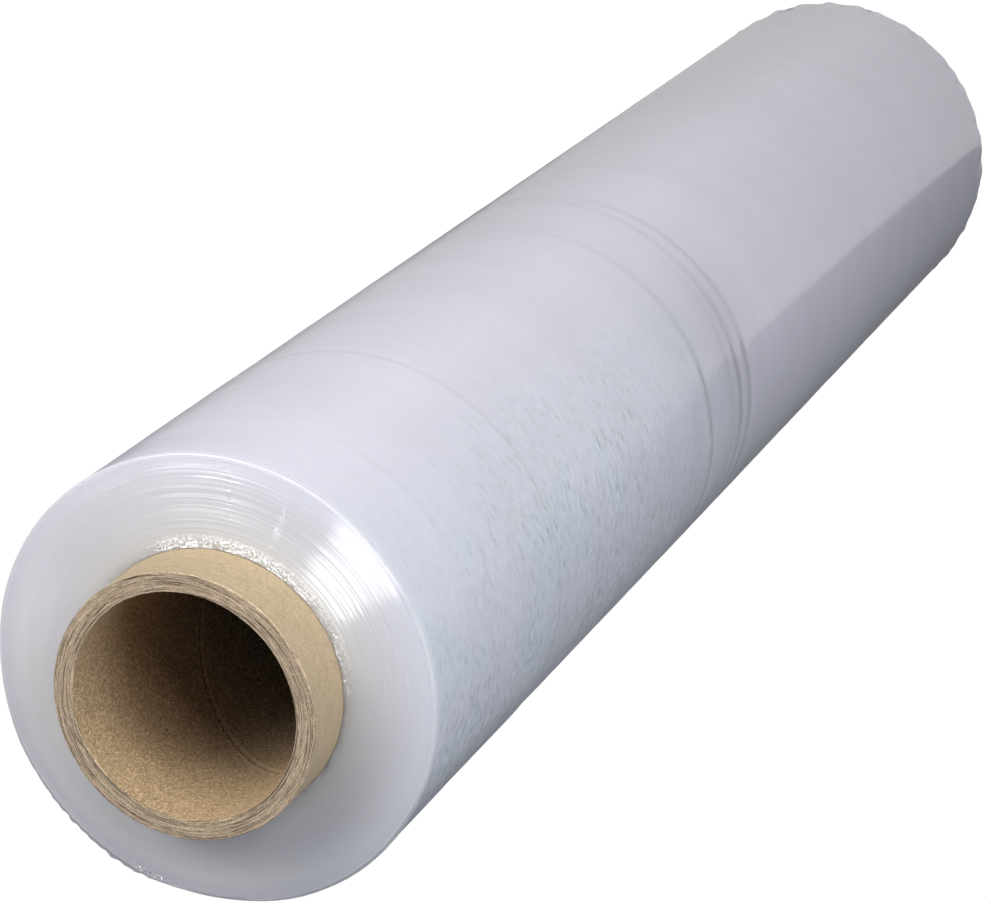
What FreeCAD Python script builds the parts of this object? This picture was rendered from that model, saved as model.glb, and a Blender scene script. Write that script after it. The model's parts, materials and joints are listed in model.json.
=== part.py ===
import FreeCAD, Part
import os
import Sketcher

# Stretch wrap roll, standing on one end of its core.
#
# Frame: +Z runs up the core's axis. The origin is the centre of the core's
# lower end, on the surface that the roll stands on. Millimetres.
#
# Two pieces:
#   core_tube     spiral-wound board tube, open from end to end
#   film_winding  the clear film wound on it, all its turns as one solid; the
#                 tube stands out past it at both ends

doc = FreeCAD.newDocument("stretch_wrap_roll")

# ---------------------------------------------------------------- dimensions
sheet = doc.addObject("Spreadsheet::Sheet", "Dims")
DIMS = [
    # core
    ("core_bore_radius", 25.4, "bore of a 2 inch core"),
    ("core_wall", 4.4, "wall of the wound board"),
    ("core_length", 530.0, "core, end to end"),
    ("core_edge_break", 0.3, "softened cut edges, inside and outside"),
    # film
    ("film_width", 500.0, "width of the film, along the core"),
    ("film_offset", 14.5, "core standing out below the film"),
    ("film_radius", 50.5, "outside of the winding"),
    ("band_width", 2.6, "outermost turns, pulled a little narrower"),
    ("band_recess", 0.4, "how far those turns sit back at each end"),
    ("film_edge_round", 0.8, "rounded outer edge of the winding"),
]
for row, (alias, value, note) in enumerate(DIMS, start=1):
    sheet.set("A%d" % row, alias)
    sheet.set("B%d" % row, str(value))
    sheet.set("C%d" % row, note)
    sheet.setAlias("B%d" % row, alias)
doc.recompute()


# ------------------------------------------------------------------- helpers
def origin_plane(body, role):
    for feature in body.Origin.OriginFeatures:
        if feature.Role == role:
            return feature
    raise RuntimeError("no plane " + role)


def new_body(name):
    body = doc.addObject("PartDesign::Body", name)
    body.Label = name
    body.Placement = FreeCAD.Placement()
    return body


def new_sketch(body, name, role):
    sketch = body.newObject("Sketcher::SketchObject", name)
    sketch.AttachmentSupport = (origin_plane(body, role), [""])
    sketch.MapMode = "FlatFace"
    return sketch


def ring_sketch(body, name, inner, outer):
    """Two circles about the axis; inner and outer are expressions."""
    sketch = new_sketch(body, name, "XY_Plane")
    centre = FreeCAD.Vector(0, 0, 0)
    up = FreeCAD.Vector(0, 0, 1)
    for index, (label, radius, expression) in enumerate(
        (("outer", 50.0, outer), ("inner", 25.0, inner))
    ):
        sketch.addGeometry(Part.Circle(centre, up, radius), False)
        sketch.addConstraint(Sketcher.Constraint("Coincident", index, 3, -1, 1))
        number = sketch.addConstraint(Sketcher.Constraint("Radius", index, radius))
        sketch.renameConstraint(number, label)
        sketch.setExpression("Constraints." + label, expression)
    return sketch


def step_sketch(body, name, inside, outside, low, high):
    """A rectangle in the XZ plane, to be turned about the axis."""
    sketch = new_sketch(body, name, "XZ_Plane")
    x0, x1, z0, z1 = 40.0, 60.0, 5.0, 15.0
    corners = [
        FreeCAD.Vector(x0, z0, 0),
        FreeCAD.Vector(x1, z0, 0),
        FreeCAD.Vector(x1, z1, 0),
        FreeCAD.Vector(x0, z1, 0),
    ]
    for k in range(4):
        sketch.addGeometry(Part.LineSegment(corners[k], corners[(k + 1) % 4]), False)
    for k in range(4):
        sketch.addConstraint(Sketcher.Constraint("Coincident", k, 2, (k + 1) % 4, 1))
    sketch.addConstraint(Sketcher.Constraint("Horizontal", 0))
    sketch.addConstraint(Sketcher.Constraint("Horizontal", 2))
    sketch.addConstraint(Sketcher.Constraint("Vertical", 1))
    sketch.addConstraint(Sketcher.Constraint("Vertical", 3))
    for label, kind, geometry, point, value, expression in (
        ("inside", "DistanceX", 0, 1, x0, inside),
        ("outside", "DistanceX", 0, 2, x1, outside),
        ("low", "DistanceY", 0, 1, z0, low),
        ("high", "DistanceY", 2, 1, z1, high),
    ):
        number = sketch.addConstraint(
            Sketcher.Constraint(kind, -1, 1, geometry, point, value)
        )
        sketch.renameConstraint(number, label)
        sketch.setExpression("Constraints." + label, expression)
    return sketch


def rim_edges(shape, radii, heights, slack=0.01):
    """Names of the full circles of those radii at those heights."""
    names = []
    for index, edge in enumerate(shape.Edges, start=1):
        curve = edge.Curve
        if not isinstance(curve, Part.Circle):
            continue
        if any(abs(curve.Radius - r) < slack for r in radii) and any(
            abs(curve.Center.z - z) < slack for z in heights
        ):
            names.append("Edge%d" % index)
    return names


# ----------------------------------------------------------------- core tube
# Wound board: a plain tube with its cut edges softened. The fine spiral seam
# of the plies is a surface line and isn't cut into the solid.
core = new_body("core_tube")
core_section = ring_sketch(
    core,
    "core_section",
    "Dims.core_bore_radius",
    "Dims.core_bore_radius + Dims.core_wall",
)
core_pad = core.newObject("PartDesign::Pad", "core_wound")
core_pad.Profile = core_section
core_pad.setExpression("Length", "Dims.core_length")
doc.recompute()

bore = sheet.core_bore_radius
wall = sheet.core_wall
length = sheet.core_length
core_break = core.newObject("PartDesign::Chamfer", "core_edges")
core_break.Base = (
    core_pad,
    rim_edges(core_pad.Shape, (bore, bore + wall), (0.0, length)),
)
core_break.setExpression("Size", "Dims.core_edge_break")
doc.recompute()

# -------------------------------------------------------------- film winding
# One closed ring about the core. It starts above the core's lower end and
# leaves the core standing out at the top too.
film = new_body("film_winding")
film_section = ring_sketch(
    film,
    "film_section",
    "Dims.core_bore_radius + Dims.core_wall",
    "Dims.film_radius",
)
film_section.setExpression(".AttachmentOffset.Base.z", "Dims.film_offset")
film_pad = film.newObject("PartDesign::Pad", "film_wound")
film_pad.Profile = film_section
film_pad.setExpression("Length", "Dims.film_width")
doc.recompute()
full_volume = film_pad.Shape.Volume

# the outermost turns sit back a little at both ends
band_low = step_sketch(
    film,
    "band_low_section",
    "Dims.film_radius - Dims.band_width",
    "Dims.film_radius + 5",
    "Dims.film_offset - 2",
    "Dims.film_offset + Dims.band_recess",
)
groove_low = film.newObject("PartDesign::Groove", "band_low")
groove_low.Profile = band_low
groove_low.ReferenceAxis = (band_low, ["V_Axis"])
groove_low.Angle = 360
doc.recompute()
low_volume = groove_low.Shape.Volume

band_high = step_sketch(
    film,
    "band_high_section",
    "Dims.film_radius - Dims.band_width",
    "Dims.film_radius + 5",
    "Dims.film_offset + Dims.film_width - Dims.band_recess",
    "Dims.film_offset + Dims.film_width + 2",
)
groove_high = film.newObject("PartDesign::Groove", "band_high")
groove_high.Profile = band_high
groove_high.ReferenceAxis = (band_high, ["V_Axis"])
groove_high.Angle = 360
doc.recompute()
high_volume = groove_high.Shape.Volume

# each groove has to take its own thin ring away
ring = 3.141592653589793 * sheet.band_recess * (
    sheet.film_radius**2 - (sheet.film_radius - sheet.band_width) ** 2
)
for before, after, name in (
    (full_volume, low_volume, "band_low"),
    (low_volume, high_volume, "band_high"),
):
    if abs((before - after) - ring) > 0.02 * ring:
        raise RuntimeError(
            "%s took %.2f mm3, not %.2f" % (name, before - after, ring)
        )

film_round = film.newObject("PartDesign::Fillet", "film_edges")
film_round.Base = (
    groove_high,
    rim_edges(
        groove_high.Shape,
        (sheet.film_radius,),
        (
            sheet.film_offset + sheet.band_recess,
            sheet.film_offset + sheet.film_width - sheet.band_recess,
        ),
    ),
)
film_round.setExpression("Radius", "Dims.film_edge_round")
doc.recompute()

# -------------------------------------------------------------------- checks
for item in doc.Objects:
    if "Invalid" in item.State or "Error" in item.State:
        raise RuntimeError("%s failed: %s" % (item.Name, item.State))

NODES = (core, film)
for body in NODES:
    shape = body.Shape
    if shape.isNull() or not shape.isValid() or len(shape.Solids) != 1:
        raise RuntimeError("%s has no single valid solid" % body.Label)
    box = shape.BoundBox
    print(
        "%-13s volume %10.1f mm3  box x %.2f..%.2f  y %.2f..%.2f  z %.2f..%.2f"
        % (
            body.Label,
            shape.Volume,
            box.XMin,
            box.XMax,
            box.YMin,
            box.YMax,
            box.ZMin,
            box.ZMax,
        )
    )
for sketch in (core_section, film_section, band_low, band_high):
    if sketch.solve() != 0 or not sketch.FullyConstrained:
        raise RuntimeError(sketch.Name + " isn't fully constrained")

# --------------------------------------------------------------------- files
os.makedirs("parts", exist_ok=True)
for body in NODES:
    body.Shape.exportStep("parts/%s.step" % body.Label)
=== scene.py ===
import json
import math

import bpy
import numpy as np
from mathutils import Matrix, Vector


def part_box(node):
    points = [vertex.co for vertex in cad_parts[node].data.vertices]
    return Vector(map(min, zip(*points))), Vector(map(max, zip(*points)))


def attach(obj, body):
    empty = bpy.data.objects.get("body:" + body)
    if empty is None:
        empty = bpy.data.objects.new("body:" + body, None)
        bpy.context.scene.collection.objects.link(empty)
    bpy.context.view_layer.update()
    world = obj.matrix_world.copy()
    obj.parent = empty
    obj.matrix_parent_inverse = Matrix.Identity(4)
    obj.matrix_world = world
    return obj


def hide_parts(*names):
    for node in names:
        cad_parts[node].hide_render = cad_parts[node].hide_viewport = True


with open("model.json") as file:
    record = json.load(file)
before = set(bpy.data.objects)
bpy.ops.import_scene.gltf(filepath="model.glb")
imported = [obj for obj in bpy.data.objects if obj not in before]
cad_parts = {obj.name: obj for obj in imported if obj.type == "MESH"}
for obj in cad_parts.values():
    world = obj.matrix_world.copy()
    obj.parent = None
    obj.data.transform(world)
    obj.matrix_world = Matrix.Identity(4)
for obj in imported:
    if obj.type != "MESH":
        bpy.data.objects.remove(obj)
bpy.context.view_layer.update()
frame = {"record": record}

# Stretch wrap roll, standing on one end of its core, seen from above.
#
# Metres, +Z up the core's axis. Lengths written in mm are turned into metres
# with MM. "Depth" on the winding is measured down from its upper end, in mm,
# and angles round the roll are in degrees from +X towards +Y.

MM = 0.001

core_low, core_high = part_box("core_tube")
film_low, film_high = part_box("film_winding")
BORE_R = next(
    m["dims"]["r_mm"] for m in frame["record"]["mounts"] if m["name"] == "core_bore"
) * MM
CORE_R = (core_high.x - core_low.x) / 2
CORE_TOP, CORE_BOTTOM = core_high.z, core_low.z
FILM_R = (film_high.x - film_low.x) / 2
FILM_TOP, FILM_BOTTOM = film_high.z, film_low.z
BAND = 2.6 * MM  # outermost turns
RECESS = 0.15 * MM  # how far they sit back, as the eye sees it
ROUND = 0.45 * MM  # rounded outer edge


# ------------------------------------------------------------------ helpers
def step(a, b, x):
    """0 before a, 1 after b, smooth between."""
    u = np.clip((x - a) / (b - a), 0.0, 1.0)
    return u * u * (3 - 2 * u)


def bell(x, width):
    return np.exp(-((x / width) ** 2))


def around(angle, knots, values):
    """Values given at some angles, in degrees, joined up smoothly all round."""
    knots, values = np.asarray(knots, float), np.asarray(values, float)
    fine = np.interp(np.arange(0, 360, 1.0), knots, values, period=360)
    kernel = np.hanning(17)
    kernel /= kernel.sum()
    wide = np.concatenate([fine[-20:], fine, fine[:20]])
    fine = np.convolve(wide, kernel, "same")[20:-20]
    return np.interp(angle, np.arange(0, 360, 1.0), fine, period=360)


def waves(rng, angle, s, lengths, turns, count):
    """Smooth random relief, from -1 to 1 or so: s is a distance, lengths the
    shortest and longest wave along it, and turns how often a wave may repeat
    round the roll. angle is in radians."""
    total = np.zeros(np.broadcast(angle, s).shape)
    for _ in range(count):
        length = np.exp(rng.uniform(*np.log(lengths)))
        total += np.cos(
            2 * np.pi * s / length
            + rng.integers(-turns, turns + 1) * angle
            + rng.uniform(0, 2 * np.pi)
        )
    return total / math.sqrt(count / 2.0) / 1.6


def ripple(rng, angle, lowest, highest, count):
    """Smooth random function of the angle alone, with lowest to highest waves
    to the turn."""
    total = np.zeros_like(angle)
    for _ in range(count):
        total += np.cos(
            rng.integers(lowest, highest + 1) * angle + rng.uniform(0, 2 * np.pi)
        )
    return total / math.sqrt(count / 2.0) / 1.6


def closed_mesh(name, points, materials, owner):
    """A mesh from a grid of points that closes both ways. owner gives each
    row's material."""
    rows, columns, _ = points.shape
    i = np.arange(rows)[:, None]
    j = np.arange(columns)[None, :]
    a = i * columns + j
    b = i * columns + (j + 1) % columns
    c = ((i + 1) % rows) * columns + (j + 1) % columns
    d = ((i + 1) % rows) * columns + j
    quads = np.stack([a, b, c, d], -1).reshape(-1, 4)
    flat = points.reshape(-1, 3)
    p, q, s, t = (flat[quads[:, k]] for k in range(4))
    volume = (
        np.einsum("ij,ij->i", p, np.cross(q, s)).sum()
        + np.einsum("ij,ij->i", p, np.cross(s, t)).sum()
    )
    if volume < 0:
        quads = quads[:, ::-1]
    mesh = bpy.data.meshes.new(name)
    mesh.vertices.add(len(flat))
    mesh.vertices.foreach_set("co", flat.astype(np.float32).ravel())
    mesh.loops.add(quads.size)
    mesh.loops.foreach_set("vertex_index", quads.astype(np.int32).ravel())
    mesh.polygons.add(len(quads))
    mesh.polygons.foreach_set("loop_start", np.arange(0, quads.size, 4, dtype=np.int32))
    mesh.polygons.foreach_set(
        "material_index", np.repeat(np.asarray(owner, np.int32), columns)
    )
    mesh.update(calc_edges=True)
    mesh.validate()
    mesh.shade_smooth()
    for material in materials:
        mesh.materials.append(material)
    piece = bpy.data.objects.new(name, mesh)
    bpy.context.scene.collection.objects.link(piece)
    return piece


class Nodes:
    """Short ways to add shader nodes and join them."""

    def __init__(self, tree):
        self.tree = tree
        tree.nodes.clear()

    def add(self, kind, sockets=None, **settings):
        node = self.tree.nodes.new(kind)
        for key, value in settings.items():
            setattr(node, key, value)
        for key, value in (sockets or {}).items():
            self.put(node.inputs[key], value)
        return node

    def put(self, socket, value):
        if isinstance(value, bpy.types.NodeSocket):
            self.tree.links.new(value, socket)
        else:
            socket.default_value = value

    def math(self, operation, a, b=0.0, c=0.0, clamp=False):
        node = self.add("ShaderNodeMath", operation=operation, use_clamp=clamp)
        for socket, value in zip(node.inputs, (a, b, c)):
            self.put(socket, value)
        return node.outputs[0]

    def sum(self, *values):
        total = values[0]
        for value in values[1:]:
            total = self.math("ADD", total, value)
        return total

    def times(self, *values):
        total = values[0]
        for value in values[1:]:
            total = self.math("MULTIPLY", total, value)
        return total

    def ramp(self, value, a, b, low=0.0, high=1.0, smooth=True):
        node = self.add(
            "ShaderNodeMapRange",
            interpolation_type="SMOOTHSTEP" if smooth else "LINEAR",
        )
        for key, item in zip(
            ("Value", "From Min", "From Max", "To Min", "To Max"),
            (value, a, b, low, high),
        ):
            self.put(node.inputs[key], item)
        return node.outputs["Result"]

    def bell(self, value, centre, width):
        """1 at centre, fading on both sides."""
        x = self.math("DIVIDE", self.math("SUBTRACT", value, centre), width)
        return self.math("EXPONENT", self.math("MULTIPLY", self.math("MULTIPLY", x, x), -1.0))

    def vector(self, x, y, z):
        return self.add("ShaderNodeCombineXYZ", {"X": x, "Y": y, "Z": z}).outputs[0]

    def noise(self, vector, scale=1.0, detail=2.0, rough=0.5, bend=0.0):
        """About 0.5 on average, mostly from 0.25 to 0.75."""
        node = self.add(
            "ShaderNodeTexNoise",
            {
                "Vector": vector,
                "Scale": scale,
                "Detail": detail,
                "Roughness": rough,
                "Distortion": bend,
            },
        )
        return node.outputs[0]

    def cells(self, vector, scale=1.0):
        node = self.add(
            "ShaderNodeTexVoronoi", {"Vector": vector, "Scale": scale}, feature="F1"
        )
        return node.outputs["Distance"], node.outputs["Color"]

    def colour(self, factor, a, b, blend="MIX"):
        node = self.add("ShaderNodeMix", data_type="RGBA", blend_type=blend)
        self.put(node.inputs[0], factor)
        self.put(node.inputs[6], a)
        self.put(node.inputs[7], b)
        return node.outputs[2]

    def grey(self, value):
        return self.add(
            "ShaderNodeCombineColor", {"Red": value, "Green": value, "Blue": value}
        ).outputs[0]

    def bump(self, height, distance, strength=1.0, normal=None):
        node = self.add(
            "ShaderNodeBump",
            {"Height": height, "Distance": distance, "Strength": strength},
        )
        if normal is not None:
            self.put(node.inputs["Normal"], normal)
        return node.outputs[0]

    def tilt(self, normal, way, amount):
        """A normal turned towards way; amount is the slope."""
        part = self.add("ShaderNodeVectorMath", operation="SCALE")
        self.put(part.inputs[0], way)
        self.put(part.inputs["Scale"], amount)
        total = self.add("ShaderNodeVectorMath", operation="ADD")
        self.put(total.inputs[0], normal)
        self.put(total.inputs[1], part.outputs[0])
        unit = self.add("ShaderNodeVectorMath", operation="NORMALIZE")
        self.put(unit.inputs[0], total.outputs[0])
        return unit.outputs[0]

    def scatter(self, vector, scale, detail=1.0):
        """A vector that points anywhere, changing over 1/scale metres."""
        node = self.add(
            "ShaderNodeTexNoise", {"Vector": vector, "Scale": scale, "Detail": detail}
        )
        part = self.add("ShaderNodeVectorMath", operation="SUBTRACT")
        self.put(part.inputs[0], node.outputs["Color"])
        part.inputs[1].default_value = (0.5, 0.5, 0.5)
        return part.outputs[0]

    def place(self):
        """x, y, z and the distance from the axis, in metres, and the angle in
        degrees from -180 to 180."""
        vector = self.add("ShaderNodeTexCoord").outputs["Object"]
        split = self.add("ShaderNodeSeparateXYZ", {"Vector": vector}).outputs
        x, y, z = split[0], split[1], split[2]
        r = self.math("SQRT", self.sum(self.times(x, x), self.times(y, y)))
        angle = self.times(self.math("ARCTAN2", y, x), 180 / math.pi)
        return vector, x, y, z, r, angle


def new_material(name):
    material = bpy.data.materials.new(name)
    material.use_nodes = True
    return material, Nodes(material.node_tree)


def close_shader(n, sockets):
    shader = n.add("ShaderNodeBsdfPrincipled", sockets)
    out = n.add("ShaderNodeOutputMaterial")
    n.tree.links.new(shader.outputs[0], out.inputs["Surface"])
    return shader


# ------------------------------------------------------- creases in the film
# The angle t runs from the upper left outline in the picture, clockwise seen
# from above. Each line is its depth in mm at some angles, and how strong it is.
def turn_angle(degrees):
    return np.mod(-6.8 - degrees, 360.0)


CREASES = {
    "long": (
        [0, 30, 55, 80, 100, 115, 127, 140, 170, 230, 300, 335],
        [191.6, 192, 194, 195, 195.7, 196, 197, 198, 198.6, 197, 193.5, 192],
        [0.06, 0.10, 0.34, 0.6, 0.95, 1.0, 1.0, 0.55, 0.4, 0.35, 0.3, 0.12],
    ),
    "first": (
        [0, 60, 80, 100, 115, 130, 200, 300],
        [216, 216, 216, 216, 216.4, 216.8, 217, 216.5],
        [0.05, 0.1, 0.55, 0.8, 0.7, 0.2, 0.15, 0.05],
    ),
    "second": (
        [0, 30, 75, 100, 125, 140, 200, 300],
        [224, 224, 221, 222.5, 223.5, 224, 225, 224.5],
        [0.04, 0.08, 0.6, 1.0, 1.0, 0.6, 0.4, 0.08],
    ),
    "third": (
        [0, 40, 80, 100, 125, 140, 200, 300],
        [228, 228, 229, 231, 232, 232.6, 232, 229],
        [0.03, 0.10, 0.8, 1.0, 0.9, 0.5, 0.35, 0.06],
    ),
}


# ------------------------------------------------------------ film: the mesh
def film_rows():
    """The outline of the winding's section, anticlockwise from the inner lower
    corner: radius, height, and which surface each row is on."""
    r, z, zone = [], [], []

    def put(radius, height, where):
        r.append(radius)
        z.append(height)
        zone.append(where)

    inner = CORE_R
    edge = FILM_R - BAND
    # lower end, from the core outwards
    for x in np.linspace(inner, edge - 0.15 * MM, 28):
        put(x, FILM_BOTTOM, "low")
    put(edge, FILM_BOTTOM + 0.12 * MM, "low")
    put(edge + 0.12 * MM, FILM_BOTTOM + RECESS, "low")
    for x in np.linspace(edge + 0.45 * MM, FILM_R - ROUND, 4):
        put(x, FILM_BOTTOM + RECESS, "low")
    for a in np.radians([-72, -54, -36, -18]):
        put(
            FILM_R - ROUND + ROUND * math.cos(a),
            FILM_BOTTOM + RECESS + ROUND + ROUND * math.sin(a),
            "side",
        )
    # side, from the far end up: closer rows at the creases and the lap
    depths = [498.8]
    fine = ((188.0, 202.0, 0.85), (213.0, 237.5, 0.85), (76.6, 80.4, 0.42))
    while depths[-1] > 1.25:
        d = depths[-1]
        gap = 5.6
        if d > 490:
            gap = 1.6
        if d < 8:
            gap = 1.3
        for low, high, close in fine:
            if low < d <= high:
                gap = close
            elif high < d < high + gap:
                gap = max(close, d - high)
        depths.append(d - gap)
    depths[-1] = 1.2
    for d in depths:
        put(FILM_R, FILM_TOP - d * MM, "side")
    # over the upper edge and in to the core
    for a in np.radians([14, 28, 42, 56, 70]):
        put(
            FILM_R - ROUND + ROUND * math.cos(a),
            FILM_TOP - RECESS - ROUND + ROUND * math.sin(a),
            "side",
        )
    put(FILM_R - ROUND, FILM_TOP - RECESS, "high")
    for x in (1.48, 1.16, 0.84, 0.54, 0.26, 0.0, -0.24):
        put(edge + x * MM, FILM_TOP - RECESS * float(step(-0.45, 1.8, x)), "high")
    for x in np.linspace(edge - 0.50 * MM, CORE_R + 2.2 * MM, 58):
        put(x, FILM_TOP, "high")
    for x in np.linspace(CORE_R + 2.0 * MM, inner, 10):
        put(x, FILM_TOP, "high")
    # down the inside, against the core
    for h in (FILM_TOP - 1.2 * MM, (FILM_TOP + FILM_BOTTOM) / 2, FILM_BOTTOM + 1.0 * MM):
        put(inner, h, "inside")
    return np.array(r), np.array(z), np.array(zone)


def make_film(materials):
    columns = 372
    r0, z0, zone = film_rows()
    rng = np.random.default_rng(41)
    angle = np.linspace(0, 2 * np.pi, columns, endpoint=False)[None, :]
    R = np.repeat(r0[:, None], columns, 1)
    Z = np.repeat(z0[:, None], columns, 1)
    t = turn_angle(np.degrees(angle))
    depth = (FILM_TOP - z0[:, None]) / MM

    side = (zone == "side")[:, None]
    low = (zone == "low")[:, None]
    high = (zone == "high")[:, None]

    # the winding is a little out of round, and thicker in bands along it
    d = 0.09 * waves(rng, angle, depth, (260, 900), 3, 10)
    bands = waves(rng, angle, depth, (9, 60), 1, 16)
    d = d + 0.035 * bands * step(4, 14, depth) * step(498, 486, depth)

    def line(name):
        knots, where, strength = CREASES[name]
        return around(t, knots, where), around(t, knots, strength)

    wobble = 0.30 * ripple(rng, angle, 8, 40, 14) + 0.16 * ripple(rng, angle, 50, 110, 14)
    uneven = 1.0 + 0.22 * ripple(rng, angle, 14, 44, 12) + 0.20 * ripple(rng, angle, 50, 120, 14)
    where, strong = line("long")
    x = depth - where - wobble
    d = d + strong * uneven * (0.15 * bell(x + 2.1, 2.0) - 0.19 * bell(x - 1.4, 1.9))
    for name, below, size in (("first", 0.6, 0.16), ("second", 0.9, 0.22), ("third", 0.9, 0.21)):
        where, strong = line(name)
        uneven = 1.0 + 0.22 * ripple(rng, angle, 14, 44, 12) + 0.20 * ripple(rng, angle, 50, 120, 14)
        d = d - size * strong * uneven * bell(depth - where - below - 0.8 * wobble, 1.8)
    d = d + 0.08 * bell(depth - 227.6, 1.9) * around(t, [0, 60, 95, 130, 180, 270], [0.4, 0.7, 1, 0.9, 0.4, 0.2])
    d = d + 0.05 * bell(depth - 242.0, 3.0)
    # a lap: the film edge under the last turns
    d = d - 0.055 * np.tanh((depth - 78.5 - 0.12 * ripple(rng, angle, 5, 40, 12)) / 0.5)

    # the far edge is scalloped, the near one almost even
    scallop = ripple(rng, angle, 20, 40, 14) + 0.6 * ripple(rng, angle, 40, 64, 9)
    scallop = scallop + 0.10 * ripple(rng, angle, 80, 110, 8)
    sway = ripple(rng, angle, 3, 9, 5)
    far = step(492.5, 499.4, depth)
    d = d + far * (0.34 * scallop + 0.12 * sway)
    near = step(3.2, 0.2, depth)
    nick = ripple(rng, angle, 55, 125, 16)
    d = d + step(7.0, 0.2, depth) * around(
        np.degrees(angle),
        [0, 30, 45, 57, 65, 72, 78, 86, 95, 102, 108, 114, 120, 126, 132, 138, 143, 150, 158, 166, 175, 240, 300],
        [0.1, 0.0, -0.28, -0.1, 0.1, 0.4, 0.2, 0.33, 0.3, 0.46, 0.7, 0.62, 0.10, -0.26, -0.36, -0.40, -0.32, -0.08, 0.1, 0.05, 0.2, 0.0, 0.05],
    )
    rough_part = around(t, [0, 90, 150, 200, 228, 238, 262, 272, 290, 340], [0.3, 0.3, 0.6, 0.8, 1.0, 1.7, 1.7, 1.0, 0.7, 0.3])
    d = d + near * (0.03 + 0.10 * step(1.0, 1.6, rough_part)) * nick * rough_part
    R = R + np.where(side, d, 0) * MM

    # ends: fine rings where the turns don't quite line up
    reach = (r0[:, None] - CORE_R) / MM  # mm out from the core
    rim = step(19.5, 20.6, reach)
    rings = waves(rng, angle, reach, (1.1, 5.0), 1, 26)
    fine_rings = waves(rng, angle, reach, (0.62, 1.1), 2, 22)
    face = 0.005 * rings * step(0.3, 2.0, reach) + 0.006 * fine_rings
    face = face * (1 - rim)
    # turns near the core are crumpled
    crumple = waves(rng, angle, reach, (0.8, 2.4), 46, 60)
    face = face + 0.035 * crumple * step(2.3, 0.7, reach) * step(-0.1, 0.4, reach)
    face = face + 0.16 * step(1.6, 0.2, reach) * ripple(rng, angle, 7, 30, 12)
    face = face + 0.05 * step(0.9, 0.0, reach)
    band_face = rim * (0.05 * sway + 0.04 * ripple(rng, angle, 12, 40, 10) + 0.16 * nick * step(1.0, 1.6, rough_part))
    Z = Z + np.where(high, face + band_face, 0) * MM
    Z = Z + np.where(side & (depth < 2.0), near * 0.5 * (0.05 * sway + 0.05 * nick * rough_part), 0) * MM

    low_rings = waves(rng, angle, reach, (1.2, 5.0), 1, 24)
    under = 0.03 * low_rings * step(0.3, 2.0, reach) * (1 - rim) + 0.10 * step(2.0, 0.5, reach) * ripple(rng, angle, 9, 34, 12)
    under = under - 0.55 * scallop * step(18.6, 20.5, reach) - 0.12 * sway * rim
    Z = Z - np.where(low, under, 0) * MM
    Z = Z + np.where(side & (depth > 497.5), (0.55 * scallop + 0.12 * sway) * step(495.0, 499.2, depth), 0) * MM

    points = np.stack([R * np.cos(angle), R * np.sin(angle), Z], -1)
    owner = [0 if where == "side" else 1 for where in zone]
    # the row under the first one on the upper end belongs to the side
    return closed_mesh("stretch_film_winding", points, materials, owner), len(r0) * columns * 2


# ------------------------------------------------------------ core: the mesh
LEAD = 0.3838 * MM  # rise of the plies' spiral, per degree
SEAM_TOP = 224.4  # angle at which the inner seam meets the upper end
OUTER_SEAM_TOP = 100.0


def core_columns():
    """Angles at the upper end, closer together at both seams."""
    base = list(np.arange(0.0, 360.0, 1.9))
    keep = [a for a in base if abs(a - SEAM_TOP) > 5.9 and abs(a - OUTER_SEAM_TOP) > 2.2]
    inner = SEAM_TOP + np.array([-4.6, -3.5, -2.6, -1.9, -1.3, -0.8, -0.4, 0.0, 0.4, 0.8, 1.3, 2.0, 3.0, 4.2, 5.4])
    outer = OUTER_SEAM_TOP + np.array([-1.6, -0.8, -0.45, -0.2, 0.0, 0.2, 0.45, 0.8, 1.6])
    return np.sort(np.concatenate([keep, inner, outer]))


CRACKS = [
    # angle and radius in mm of points along it, half width and depth in mm
    ([(3.7, 26.41), (-2.6, 26.68)], 0.14, 0.75),
    ([(-2.6, 26.68), (-9.6, 27.06), (-13.8, 27.12)], 0.07, 0.35),
    ([(-20.0, 29.28), (-27.0, 29.36)], 0.12, 0.5),
    ([(35.0, 26.18), (43.0, 26.2), (50.0, 26.26)], 0.07, 0.3),
    ([(69.0, 26.9), (73.0, 26.62), (76.0, 26.1)], 0.13, 0.6),
    ([(-76.0, 28.55), (-84.0, 28.85), (-91.0, 28.9)], 0.08, 0.3),
    ([(128.0, 29.1), (140.0, 29.2)], 0.07, 0.3),
    ([(142.0, 27.6), (146.0, 28.0)], 0.07, 0.25),
    ([(171.0, 29.3), (177.0, 29.2)], 0.08, 0.3),
    ([(-160.0, 28.0), (-166.0, 28.15), (-171.0, 28.1)], 0.06, 0.25),
]


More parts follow.
